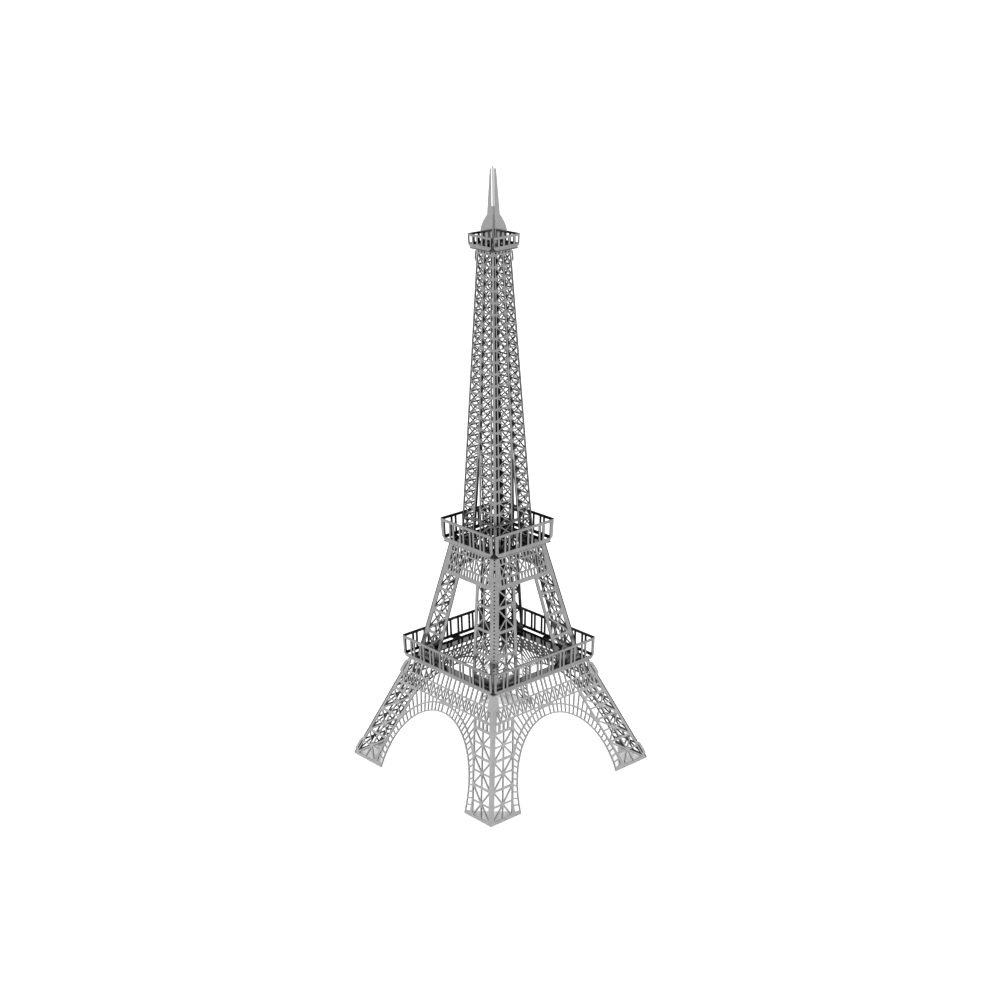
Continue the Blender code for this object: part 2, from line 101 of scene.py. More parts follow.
def inset(corners, margins):
    """An anticlockwise convex shape with side i moved inward by margins[i]."""
    corners = [Vector(corner) for corner in corners]
    sides = []
    for start, end, margin in zip(corners, corners[1:] + corners[:1], margins):
        way = (end - start).normalized()
        sides.append((start + Vector((-way.y, way.x)) * margin, way))
    return [crossing(*sides[i - 1], *sides[i]) for i in range(len(sides))]


def fan(rim, bar):
    """Openings between spokes of width bar that run from the middle of a four-sided
    bay to every point of its rim.  The rim's corners are its first four points."""
    a, b, c, d = rim[:4]
    hub = crossing(a, c - a, b, d - b)
    rim = sorted(rim, key=lambda point: math.atan2(point.y - hub.y, point.x - hub.x))
    return [inset((start, end, hub), (0, bar / 2, bar / 2))
            for start, end in zip(rim, rim[1:] + rim[:1])]


def halfway(start, end):
    return (start + end) / 2


def braced(corners, bar, upright=False, level=False):
    """Openings round crossed diagonals in a four-sided bay, with or without a middle
    upright and a middle level bar."""
    a, b, c, d = corners
    rim = [a, b, c, d]
    if upright:
        rim += [halfway(a, b), halfway(c, d)]
    if level:
        rim += [halfway(b, c), halfway(d, a)]
    return fan(rim, bar)


def box(left, right, low, high):
    return [Vector((left, low)), Vector((right, low)),
            Vector((right, high)), Vector((left, high))]


def mirrored(loops):
    """The loops' mirror images across the face's middle line."""
    return [[Vector((-point.x, point.y)) for point in reversed(loop)] for loop in loops]


def both_sides(loops):
    return loops + mirrored(loops)


def bay(inner, outer, low, high):
    """Four corners of a leg bay; inner and outer give the half-width at a height."""
    return [Vector((inner(low), low)), Vector((outer(low), low)),
            Vector((outer(high), high)), Vector((inner(high), high))]


def half_width(stage, z):
    """Half of a stage's width at a height, from fold_ends."""
    foot_z, head_z, foot, head = stage
    return foot + (head - foot) * (z - foot_z) / (head_z - foot_z)


def row(start, stop, step):
    """Even steps from start, none of them beyond stop."""
    return [start + step * i for i in range(int((stop - start) / step) + 1)]


# ---------------------------------------------------------------- face edges

LOBE_SHAPE = 0.45               # exponent: below 1 a lobe is squarer than an ellipse
EYE_SHAPE = 0.6                 # and so is an eye
ROUND_STEPS = 12                # of half a turn in a lobe, and of a full turn in an eye
TAB = 1.3                       # width of a tab that stands through a deck
TAB_RISE = 0.45                 # how far it stands beyond the deck
LOWER_HEAD_TAB = 9.0            # places of the tabs, from a face's middle line
MIDDLE_FOOT_TAB = 9.6
MIDDLE_HEAD_TAB = 3.6
UPPER_FOOT_TAB = 3.5
UPPER_HEAD_TAB = 1.25


def fold_side(stage, notches=()):
    """Right-hand edge along the fold, from foot to head, with half of each of the
    fold's slots cut in."""
    edge = [Vector((half_width(stage, stage[0]), stage[0]))]
    for low, high, deep in notches:
        edge += [Vector((half_width(stage, low), low)),
                 Vector((half_width(stage, low) - deep, low)),
                 Vector((half_width(stage, high) - deep, high)),
                 Vector((half_width(stage, high), high))]
    return edge + [Vector((half_width(stage, stage[1]), stage[1]))]


def lobe(stage, tab):
    """Rounded outline of a corner tab, from its lower root to its upper root.  It leans
    with the corner."""
    low, high, proud = tab
    middle = (low + high) / 2
    out, rise = proud + CORNER_SET, (high - low) / 2
    turns = [math.pi * (i / ROUND_STEPS - 0.5) for i in range(ROUND_STEPS + 1)]
    heights = [middle + rise * math.copysign(abs(math.sin(t)) ** LOBE_SHAPE, t) for t in turns]
    return [Vector((half_width(stage, z) - CORNER_SET + out * abs(math.cos(t)) ** LOBE_SHAPE, z))
            for t, z in zip(turns, heights)]


def free_side(stage, tabs, is_front):
    """Left-hand edge along the side corner, from head to foot.  A front shell carries
    the corner tabs there, and a back shell clears them."""
    def edge(z, inward):
        return Vector((half_width(stage, z) - inward, z))

    margin = CORNER_SET if is_front else BACK_SET
    points = [edge(stage[0], margin)]
    for tab in tabs:
        if is_front:
            points += lobe(stage, tab)
        else:
            low, high = tab[0] - GAP, tab[1] + GAP
            points += [edge(low, margin), edge(low, CORNER_SET),
                       edge(high, CORNER_SET), edge(high, margin)]
    points.append(edge(stage[1], margin))
    return mirrored([points])[0]


def tab_eye(stage, eye):
    """A slim slot with rounded ends near the right-hand corner line, to be mirrored.  An
    eye is its low end, its high end, how far out from that line its middle is, and its
    width."""
    low, high, place, wide = eye
    middle, rise = (low + high) / 2, (high - low) / 2
    turns = [2 * math.pi * i / ROUND_STEPS for i in range(ROUND_STEPS)]
    loop = []
    for t in turns:
        z = middle + rise * math.copysign(abs(math.sin(t)) ** EYE_SHAPE, math.sin(t))
        reach = wide / 2 * math.copysign(abs(math.cos(t)) ** EYE_SHAPE, math.cos(t))
        loop.append(Vector((half_width(stage, z) + place + reach, z)))
    return loop


def tab_points(centre, width, edge_z, tip_z):
    """A straight tab on a level edge, from left to right."""
    return [Vector((centre - width / 2, edge_z)), Vector((centre - width / 2, tip_z)),
            Vector((centre + width / 2, tip_z)), Vector((centre + width / 2, edge_z))]


def head_edge(stage, tab_at, tip_z):
    """Level head of a face from right to left, with a tab each side."""
    points = tab_points(-tab_at, TAB, stage[1], tip_z) + tab_points(tab_at, TAB, stage[1], tip_z)
    return points[::-1]


# ---------------------------------------------------------------- lower stage

ARCH_HALF = 15.1                # the arch: half an ellipse about a centre below the table
ARCH_RISE = 18.3
ARCH_CENTRE = Vector((0, -1.0))
ARCH_STEPS = 96
ARCH_ASIDE = 1.1                # the crown sits this far from the middle, towards the fold
ARCH_LINE = 0.3                 # solid between the arch's edge and the ring
RING_DEPTH = 1.45
RING_LINE = 0.35                # solid between the ring and the spandrel
RING_SIDE_CELLS = 20            # each side of the keystone
KEYSTONE = 1.46                 # width of the ring's middle cell at the arch's edge
RING_BAR = 0.3
LOWER_STRIP = 0.85              # solid beside the corner line
LEG_WIDTH = 7.1                 # from the corner line, before towards_fold moves it
LEG_STRIP = 0.5                 # solid beside the leg's inner side
LEG_BARS = ((0.35, 0.7), (6.55, 0.5), (12.25, 0.5), (17.7, 0.55))      # middle height, width
LEG_BRACE = 0.34
RIVET_ROW = (18.0, 19.25)       # low side and high side of the row above the leg's bays
RIVET_CELLS = 4
RIVET_MARGIN = 0.3              # solid each side of a cell of the row
SHORTEST_SPOKE = 0.25           # a spandrel cell with a shorter side is left out
TRUSS_CHORDS = (19.65, 22.48)   # middle heights
CHORD = 0.34                    # width of a chord
TRUSS_PITCH = 2.5
TRUSS_BRACE = 0.3
TRUSS_CELLS = 6                 # each side of the middle line, with a slot after all but the last
TRUSS_START = 0.45              # from the middle line to the first cell
TRUSS_CELL = 1.6                # width of a cell
TRUSS_SLOT = (1.85, 2.25)       # the slot's sides, from its cell's left side
TRUSS_MIDDLE = 0.2              # half-width of the slot on the middle line
TRUSS_END = 14.85               # from the middle line to the last, slanted cell
BALUSTER_HEAD = 25.05           # top of the openings
BALUSTER_GAP = 1.13             # width of an opening
BALUSTER = 0.4                  # width of a baluster
BALUSTER_MIDDLE = 0.325         # half-width of the opening on the middle line
LOWER_TABS = ((1.0, 4.2, 0.5), (21.6, 24.7, 0.65))     # low end, high end, how far proud
LOWER_EYES = ((1.4, 3.7, -0.42, 0.36), (21.9, 24.4, -0.5, 0.36))       # as in tab_eye


def lower_inner(z):
    """Arch side of a leg's inner strip."""
    return half_width(LOWER, z) - LEG_WIDTH


def on_ellipse(start, way, grow):
    """Where a line leaves the arch's ellipse grown outward by grow."""
    a, b = ARCH_HALF + grow, ARCH_RISE + grow
    p = Vector(((start.x - ARCH_CENTRE.x) / a, (start.y - ARCH_CENTRE.y) / b))
    d = Vector((way.x / a, way.y / b))
    half_b = p.dot(d)
    root = math.sqrt(half_b * half_b - d.dot(d) * (p.dot(p) - 1))
    return start + way * ((root - half_b) / d.dot(d))


def on_strip(start, way):
    """Where a line meets the arch side of a leg's inner strip."""
    lean = Vector((lower_inner(1) - lower_inner(0), 1))
    return crossing(start, way, Vector((lower_inner(0), 0)), lean)


def on_chord(start, way):
    """Where a line meets the underside of the lower chord."""
    return crossing(start, way, Vector((0, TRUSS_CHORDS[0] - CHORD / 2)), LEVEL)


def ring_ways():
    """Directions from the arch's centre to the ring's bars, from the foot to the top."""
    top = math.asin((KEYSTONE + RING_BAR) / 2 / ARCH_HALF)
    last = math.pi / 2 - top
    first = math.asin((LEG_BARS[0][1] - ARCH_CENTRE.y) / ARCH_RISE)
    step = (last - first) / RING_SIDE_CELLS
    turns = [first + step * i for i in range(RING_SIDE_CELLS + 1)]
    return [Vector((ARCH_HALF * math.cos(t), ARCH_RISE * math.sin(t))).normalized() for t in turns]


def bar_side(way, side):
    """Point on one long side of a ring bar, beside the arch's centre."""
    return ARCH_CENTRE + Vector((-way.y, way.x)) * side * RING_BAR / 2


def nearer(*points):
    return min(points, key=lambda point: (point - ARCH_CENTRE).length)


def ring_cells():
    """Openings between the arch line and the ring's outer line or the leg strip."""
    ways = ring_ways()
    depth = ARCH_LINE + RING_DEPTH
    cells = []
    for low, high in zip(ways, ways[1:]):
        cell = []
        for way, side in ((low, 1), (high, -1)):
            start = bar_side(way, side)
            outer = nearer(on_ellipse(start, way, depth), on_strip(start, way))
            ends = [on_ellipse(start, way, ARCH_LINE), outer]
            cell += ends if side > 0 else ends[::-1]
        cells.append(cell)
    cells = both_sides(cells)
    start = bar_side(ways[-1], 1)
    foot, head = on_ellipse(start, ways[-1], ARCH_LINE), on_ellipse(start, ways[-1], depth)
    cells.append([Vector((-foot.x, foot.y)), foot, head, Vector((-head.x, head.y))])
    return cells


def spandrel_cells():
    """Openings between the ring's outer line, the leg strip and the lower chord."""
    inner = ARCH_LINE + RING_DEPTH + RING_LINE
    corner = on_strip(on_chord(ARCH_CENTRE, UPRIGHT), LEVEL)
    corner_way = (corner - ARCH_CENTRE).normalized()
    cells = []
    for low, high in zip(ring_ways(), ring_ways()[1:]):
        cell = []
        for way, side in ((low, 1), (high, -1)):
            start = bar_side(way, side)
            ends = [on_ellipse(start, way, inner),
                    nearer(on_chord(start, way), on_strip(start, way))]
            cell += ends if side > 0 else ends[::-1]
            if side > 0 and low.x > corner_way.x > high.x:
                cell.append(corner)
        lengths = [(cell[1] - cell[0]).length, (cell[-2] - cell[-1]).length]
        clear = all((cell[i] - ARCH_CENTRE).dot(way) < (cell[j] - ARCH_CENTRE).dot(way)
                    for i, j, way in ((0, 1, low), (-1, -2, high)))
        if clear and min(lengths) > SHORTEST_SPOKE:
            cells.append(cell)
    return both_sides(cells)


def leg_holes():
    def inner(z):
        return lower_inner(z) + LEG_STRIP

    def outer(z):
        return half_width(LOWER, z) - LOWER_STRIP

    holes = []
    for (low, low_bar), (high, high_bar) in zip(LEG_BARS, LEG_BARS[1:]):
        corners = bay(inner, outer, low + low_bar / 2, high - high_bar / 2)
        holes += braced(corners, LEG_BRACE, upright=True, level=True)
    low, high = RIVET_ROW
    for i in range(RIVET_CELLS):
        def left(z, i=i):
            return inner(z) + (outer(z) - inner(z)) * i / RIVET_CELLS + RIVET_MARGIN

        def right(z, i=i):
            return inner(z) + (outer(z) - inner(z)) * (i + 1) / RIVET_CELLS - RIVET_MARGIN
        holes.append(bay(left, right, low, high))
    return both_sides(holes)


def band_holes():
    """The truss and the balusters across the head of a lower face."""
    low, high = TRUSS_CHORDS[0] + CHORD / 2, TRUSS_CHORDS[1] - CHORD / 2
    holes = [box(-TRUSS_MIDDLE, TRUSS_MIDDLE, low, high)]
    side = []
    for i in range(TRUSS_CELLS):
        left = i * TRUSS_PITCH + TRUSS_START
        side += braced(box(left, left + TRUSS_CELL, low, high), TRUSS_BRACE)
        if i < TRUSS_CELLS - 1:
            side.append(box(left + TRUSS_SLOT[0], left + TRUSS_SLOT[1], low, high))
    last = bay(lambda z: TRUSS_END, lambda z: half_width(LOWER, z) - LOWER_STRIP, low, high)
    side += braced(last, TRUSS_BRACE)
    holes += both_sides(side)
    low, high = TRUSS_CHORDS[1] + CHORD / 2, BALUSTER_HEAD
    holes.append(box(-BALUSTER_MIDDLE, BALUSTER_MIDDLE, low, high))
    reach = half_width(LOWER, high) - LOWER_STRIP
    left = BALUSTER_MIDDLE + BALUSTER
    while left + BALUSTER_GAP < reach:
        holes += both_sides([box(left, left + BALUSTER_GAP, low, high)])
        left += BALUSTER_GAP + BALUSTER
    return holes


def towards_fold(loop):
    """A loop of the arch or the legs, moved aside: most on the face's middle line, and
    not at all on its corner lines."""
    def shifted(point):
        share = point.x / half_width(LOWER, point.y)
        return Vector((point.x + ARCH_ASIDE * (1 - share * share), point.y))

    return [shifted(point) for point in loop]


def lower_holes():
    aside = [towards_fold(loop) for loop in leg_holes() + ring_cells() + spandrel_cells()]
    return aside + band_holes()


def lower_outline(is_front):
    first = math.asin((LOWER[0] - ARCH_CENTRE.y) / ARCH_RISE)
    sweep = math.pi - 2 * first
    turns = [first + sweep * i / ARCH_STEPS for i in range(ARCH_STEPS + 1)]
    arch = [Vector((-ARCH_HALF * math.cos(t), ARCH_CENTRE.y + ARCH_RISE * math.sin(t)))
            for t in turns]
    head = head_edge(LOWER, LOWER_HEAD_TAB, FIRST_DECK_Z[1] + TAB_RISE)
    return towards_fold(arch) + fold_side(LOWER) + head + free_side(LOWER, LOWER_TABS, is_front)


# --------------------------------------------------------------- middle stage

MIDDLE_STRIP = 1.3              # solid beside the corner line
MIDDLE_INNER = 0.85             # solid beside the gap between the legs
DOOR_HEAD = 47.15               # top of that gap
DOOR_HALF = 3.0                 # half-width of the gap between the legs at its head
DOOR_LEAN = 0.156               # growth of that half-width for each unit down
MIDDLE_BARS = ((27.35, 0.7), (32.6, 0.6), (37.9, 0.6), (43.2, 0.6), (47.55, 0.9))      # as LEG_BARS
MIDDLE_BRACE = 0.3
SLOT_ROW = (48.05, 49.35)       # low side and high side
SLOT_PITCH = 0.95
SLOT_WIDE = 0.5
MIDDLE_TRUSS = (49.75, 52.45)
MIDDLE_TRUSS_SIDE = 2           # cells each side of the one on the middle line
MIDDLE_TRUSS_PITCH = 2.87
MIDDLE_TRUSS_BRACE = 0.32
MIDDLE_TRUSS_CELL = 0.92        # half-width of a cell
MIDDLE_TRUSS_SLOT = 0.25        # half-width of a slot between two cells
RIVETS = (52.8, 53.85)
RIVET_PITCH = 1.03
RIVET_WIDE = 0.6
ROW_REACH = 0.3                 # how far the two rows may reach beyond the bays' outer line
NOTCH = 0.3                     # height of a short slot on the fold
LEG_NOTCHES = ((27.4, 49.2, 0.8), 0.09)         # start, stop and step of a row; half-width
HEAD_NOTCHES = ((52.6, 53.9, 0.6), 0.12)
LONG_NOTCH = (50.2, 52.0, 0.17)         # low end, high end, half-width


def door_half(z):
    """Half of the gap between the legs."""
    return DOOR_HALF + (DOOR_HEAD - z) * DOOR_LEAN


def middle_outer(z):
    return half_width(MIDDLE, z) - MIDDLE_STRIP


def row_holes(low, high, pitch, wide, reach):
    """Slots in a level row, one on the middle line and as many each side as fit."""
    count = int((reach - wide / 2) / pitch)
    return [box(i * pitch - wide / 2, i * pitch + wide / 2, low, high)
            for i in range(-count, count + 1)]


def middle_holes():
    def inner(z):
        return door_half(z) + MIDDLE_INNER

    holes = []
    for (low, low_bar), (high, high_bar) in zip(MIDDLE_BARS, MIDDLE_BARS[1:]):
        corners = bay(inner, middle_outer, low + low_bar / 2, high - high_bar / 2)
        holes += both_sides(braced(corners, MIDDLE_BRACE, upright=True))
    holes += row_holes(*SLOT_ROW, SLOT_PITCH, SLOT_WIDE, middle_outer(SLOT_ROW[1]) + ROW_REACH)
    holes += row_holes(*RIVETS, RIVET_PITCH, RIVET_WIDE, middle_outer(RIVETS[1]) + ROW_REACH)
    low, high = MIDDLE_TRUSS
    for i in range(-MIDDLE_TRUSS_SIDE, MIDDLE_TRUSS_SIDE + 1):
        centre = i * MIDDLE_TRUSS_PITCH
        cell = box(centre - MIDDLE_TRUSS_CELL, centre + MIDDLE_TRUSS_CELL, low, high)
        holes += braced(cell, MIDDLE_TRUSS_BRACE)
    slots = [(i + 0.5) * MIDDLE_TRUSS_PITCH
             for i in range(-MIDDLE_TRUSS_SIDE, MIDDLE_TRUSS_SIDE)]
    holes += [box(centre - MIDDLE_TRUSS_SLOT, centre + MIDDLE_TRUSS_SLOT, low, high)
              for centre in slots]
    return holes


def middle_outline(is_front):
    foot_z = MIDDLE[0]
    notches = [LONG_NOTCH]
    for heights, deep in (LEG_NOTCHES, HEAD_NOTCHES):
        notches += [(z, z + NOTCH, deep) for z in row(*heights)]
    notches.sort()
    leg = [Vector((DOOR_HALF, DOOR_HEAD)), Vector((door_half(foot_z), foot_z))]
    leg += tab_points(MIDDLE_FOOT_TAB, TAB, foot_z, FIRST_DECK_Z[0] - TAB_RISE)
    head = head_edge(MIDDLE, MIDDLE_HEAD_TAB, SECOND_DECK_Z[1] + TAB_RISE)
    edges = fold_side(MIDDLE, notches) + head + free_side(MIDDLE, (), is_front)
    return mirrored([leg])[0] + leg + edges


# ---------------------------------------------------------------- upper stage

UPPER_FREE_STRIP = 0.4          # solid strip beside the free edge
UPPER_FOLD_STRIP = 0.26         # the wide strip beside the fold, as a share of the half-width
UPPER_INNER = 0.38              # solid each side of the gap between the columns
UPPER_ASIDE = 0.085             # the middle strip's place towards the free edge, as such a share
UPPER_BAYS = 25
UPPER_FOOT_Z = 55.3             # middle of the lowest level bar
UPPER_HEAD_Z = 121.3            # middle of the highest level bar
UPPER_BAR = 0.34                # width of a level bar
UPPER_BRACE = 0.24
JOINED_HALF = 0.2               # half of the middle strip where the columns are joined
BAY_GROWTH = 0.055              # how much taller the lowest bay is, as a share of the highest
SPLIT_Z = 78.4                  # height where the two columns' inner sides would meet
SPLIT_LEAN = 0.05               # growth of half of their gap for each unit down
SPLIT_HEAD = SPLIT_Z - 3.0      # where the gap between the columns is cut off
JOIN_HEIGHT = 6.0               # the solid part beside the gap narrows in this height below SPLIT_Z
TIE = (60.6, 61.3)              # low side and high side of the bar across the gap
LADDER = (0.065, 0.18)          # sides of the slots beside the fold, as shares from the fold
LADDER_BRIDGE = 0.5             # between one slot and the next
COLLAR_HOLES = (121.5, 121.9, 0.42, 0.95)       # low side, high side, width, pitch
UPPER_TABS = ((119.4, 121.9, 0.55),)            # as LOWER_TABS
UPPER_EYES = ((119.95, 121.35, 0.1, 0.36),)     # as in tab_eye


def split_half(z):
    """Half of the gap between the two columns of an upper face."""
    return max(0.0, (SPLIT_Z - z) * SPLIT_LEAN)


def upper_middle(z):
    """Where the middle strip's own middle is."""
    return -UPPER_ASIDE * half_width(UPPER, z)


def upper_levels():
    """Heights of the level bars; the bays grow a little towards the foot."""
    share = [1.0 + BAY_GROWTH * (1 - i / (UPPER_BAYS - 1)) for i in range(UPPER_BAYS)]
    unit = (UPPER_HEAD_Z - UPPER_FOOT_Z) / sum(share)
    levels = [UPPER_FOOT_Z]
    for size in share:
        levels.append(levels[-1] + size * unit)
    return levels


def upper_holes():
    def strip(z):
        joined = min(1.0, max(0.0, (z - SPLIT_Z + JOIN_HEIGHT) / JOIN_HEIGHT))
        return split_half(z) + UPPER_INNER + (JOINED_HALF - UPPER_INNER) * joined

    def fold_inner(z):
        return upper_middle(z) + strip(z)

    def fold_outer(z):
        return half_width(UPPER, z) * (1 - UPPER_FOLD_STRIP)

    def free_inner(z):
        return upper_middle(z) - strip(z)

    def free_outer(z):
        return UPPER_FREE_STRIP - half_width(UPPER, z)

    levels = upper_levels()
    holes = []
    for low, high in zip(levels, levels[1:]):
        foot, head = low + UPPER_BAR / 2, high - UPPER_BAR / 2
        holes += braced(bay(fold_inner, fold_outer, foot, head), UPPER_BRACE)
        holes += braced(bay(free_outer, free_inner, foot, head), UPPER_BRACE)
    low, high, wide, pitch = COLLAR_HOLES
    holes += row_holes(low, high, pitch, wide, half_width(UPPER, high))
    holes.append([Vector((upper_middle(z) + side * split_half(z), z)) for side, z in
                  ((-1, TIE[1]), (1, TIE[1]), (1, SPLIT_HEAD), (-1, SPLIT_HEAD))])
    return holes


def upper_ladder():
    """The slots beside the front fold.  The back fold has none."""
    def far(z):
        return half_width(UPPER, z) * (1 - LADDER[1])

    def near(z):
        return half_width(UPPER, z) * (1 - LADDER[0])

    levels = upper_levels()
    return [bay(far, near, low + LADDER_BRIDGE / 2, high - LADDER_BRIDGE / 2)
            for low, high in zip(levels, levels[1:])]


def upper_outline(is_front):
    foot_z = UPPER[0]
    leg = [Vector((split_half(TIE[0]), TIE[0])), Vector((split_half(foot_z), foot_z))]
    split = [Vector((upper_middle(point.y) + point.x, point.y))
             for point in mirrored([leg])[0] + leg]
    foot = tab_points(UPPER_FOOT_TAB, TAB, foot_z, SECOND_DECK_Z[0] - TAB_RISE)
    head = head_edge(UPPER, UPPER_HEAD_TAB, TOP_DECK_Z[1] + TAB_RISE)
    edges = fold_side(UPPER) + head + free_side(UPPER, UPPER_TABS, is_front)
    return mirrored([foot])[0] + split + foot + edges


# ---------------------------------------------------------------- folding

INSIDE_LOOPS = 1                # delaunay_2d_cdt then gives triangles inside the loops only
SNAP = 1e-6                     # points this close are one in the triangulation
FLAT = 0.001                    # faces that bend less than this, in radians, are joined


def flat_triangles(outline, holes):
    """Triangles of a flat shape with holes: its points, and their index triples.  A
    triangle whose only source is loop 0, the outline, is in no hole."""
    points, faces = [], []
    for loop in [outline] + holes:
        area = sum(a.cross(b) for a, b in zip(loop, loop[1:] + loop[:1]))
        loop = loop if area > 0 else loop[::-1]
        faces.append(list(range(len(points), len(points) + len(loop))))
        points += loop
    points, _, triangles, _, _, sources = delaunay_2d_cdt(points, [], faces, INSIDE_LOOPS, SNAP)
    return points, [tri for tri, source in zip(triangles, sources) if source == [0]]


def fold_sheet(name, panels, skins):
    """One sheet of even thickness from flat panels that share their fold lines.
    A panel is an outline, its holes, and a function that sets a point in space.
    The skins are the materials of its outer side, its inner side and its cut edges."""
    shape = bmesh.new()
    for outline, holes, place in panels:
        points, triangles = flat_triangles(outline, holes)
        corners = [shape.verts.new(place(point) * MM) for point in points]
        for triangle in triangles:
            shape.faces.new([corners[index] for index in triangle])
    bmesh.ops.remove_doubles(shape, verts=shape.verts, dist=WELD)
    bmesh.ops.dissolve_limit(shape, angle_limit=FLAT,
                             verts=shape.verts, edges=shape.edges)
    mesh = bpy.data.meshes.new(name)
    shape.to_mesh(mesh)
    shape.free()
    piece = bpy.data.objects.new(name, mesh)
    bpy.context.scene.collection.objects.link(piece)
    for skin in skins:
        piece.data.materials.append(skin)
    thicken = piece.modifiers.new("sheet", "SOLIDIFY")
    thicken.thickness = SHEET * MM
    thicken.offset = 0.0
    thicken.use_even_offset = True
    thicken.use_quality_normals = True
    thicken.material_offset = 1
    thicken.material_offset_rim = 2
    return piece


def on_face(stage, side):
    """Gives the function that sets a flat face in space.  Side 0 faces -Y, and each next
    side is a quarter turn on, so side 1 faces +X."""
    turn = Matrix.Rotation(side * math.pi / 2, 3, "Z")
    return lambda point: turn @ Vector((point.x, -half_width(stage, point.y), point.y))


def shell(name, stage, is_front, outline, holes, eyes, skins):
    """The detailed shell that stands for a CAD shell: two faces and their fold.  The
    outline and the holes are those of the first face, whose fold is on its right.  The
    eyes are for the corner tabs, which only a front shell has."""
    first_side = 0 if is_front else 2
    if is_front:
        holes = holes + mirrored([tab_eye(stage, eye) for eye in eyes])
    panels = [(outline, holes, on_face(stage, first_side)),
              (mirrored([outline])[0], mirrored(holes), on_face(stage, first_side + 1))]
    piece = fold_sheet(f"{name}_etched", panels, skins)
    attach(piece, "root")
    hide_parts(name)
    return piece


# ---------------------------------------------------------------- materials

class Wiring:
    """Short way to add nodes to a material and join them."""

    def __init__(self, material):
        material.use_nodes = True
        self.nodes, self.links = material.node_tree.nodes, material.node_tree.links
        self.surface = self.nodes["Principled BSDF"]

    def feed(self, socket, value):
        if isinstance(value, bpy.types.NodeSocket):
            self.links.new(value, socket)
        else:
            socket.default_value = value

    def maths(self, operation, first, second=0.0):
        node = self.nodes.new("ShaderNodeMath")
        node.operation = operation
        self.feed(node.inputs[0], first)
        self.feed(node.inputs[1], second)
        return node.outputs[0]

    def scaled(self, vector, factors):
        node = self.nodes.new("ShaderNodeVectorMath")
        node.operation = "MULTIPLY"
        self.feed(node.inputs[0], vector)
        self.feed(node.inputs[1], factors)
        return node.outputs[0]

    def noise(self, vector, scale, detail):
        node = self.nodes.new("ShaderNodeTexNoise")
        self.feed(node.inputs["Vector"], vector)
        self.feed(node.inputs["Scale"], scale)
        self.feed(node.inputs["Detail"], detail)
        return node.outputs["Fac"]

    def remap(self, value, low, high, start, end):
        node = self.nodes.new("ShaderNodeMapRange")
        self.feed(node.inputs["Value"], value)
        limits = {"From Min": low, "From Max": high, "To Min": start, "To Max": end}
        for name, number in limits.items():
            self.feed(node.inputs[name], number)
        return node.outputs["Result"]

    def split(self, vector):
        node = self.nodes.new("ShaderNodeSeparateXYZ")
        self.feed(node.inputs[0], vector)
        return node.outputs["X"], node.outputs["Y"], node.outputs["Z"]


def away_from_axis(wires, place):
    """How far a face looks away from the tower's axis, from -1 to 1, on a panel that
    faces X or Y: its normal along whichever of those two axes its place is further
    out on."""
    x, y, _ = wires.split(place.outputs["Position"])
    normal_x, normal_y, _ = wires.split(place.outputs["True Normal"])
    wide_x, wide_y = wires.maths("ABSOLUTE", x), wires.maths("ABSOLUTE", y)
    is_x = wires.maths("GREATER_THAN", wide_x, wide_y)
    along_x = wires.maths("MULTIPLY", normal_x, wires.maths("SIGN", x))
    along_y = wires.maths("MULTIPLY", normal_y, wires.maths("SIGN", y))
    part_x = wires.maths("MULTIPLY", along_x, is_x)
    part_y = wires.maths("MULTIPLY", along_y, wires.maths("SUBTRACT", 1.0, is_x))
    return wires.maths("ADD", part_x, part_y)


MOTTLE = (180.0, 4.0)           # a noise's scale, in cycles per metre, and its detail
PITTING = (1100.0, 2.0)
STREAK = (900.0, 2.0)
STREAK_STRETCH = (1.0, 1.0, 0.06)
NOISE_SPAN = (0.3, 0.7)         # the part of a noise's range that is spread out
GLOSS_UNEVEN = 0.15             # how far the streaks change the roughness, as a share of it
BUMP_STRENGTH = 0.2
BUMP_DEPTH = 0.01
FACING = (0.6, 0.75)            # away_from_axis is below the first on a cut edge, and above
                                # the second on an outer side
PAINTED_REFLECTION_ACROSS = (16.0, 24.0)        # of y - x, where the painted reflection on a sheet's inner side starts and ends its change
PAINTED_REFLECTION_HEIGHTS = (14.0, 18.0)      # and the heights over which it changes back, as the painted reflection fades out


def back_leg_painted_reflection(wires, place):
    """Mask of a painted reflection: 1 in the foot of the leg at -X and +Y, falling to 0 beside it and
    above it.
    """
    x, y, z = wires.split(place.outputs["Position"])
    across = wires.maths("SUBTRACT", y, x)
    beside = wires.remap(across, PAINTED_REFLECTION_ACROSS[0] * MM, PAINTED_REFLECTION_ACROSS[1] * MM, 0.0, 1.0)
    above = wires.remap(z, PAINTED_REFLECTION_HEIGHTS[0] * MM, PAINTED_REFLECTION_HEIGHTS[1] * MM, 1.0, 0.0)
    return wires.maths("MULTIPLY", beside, above)


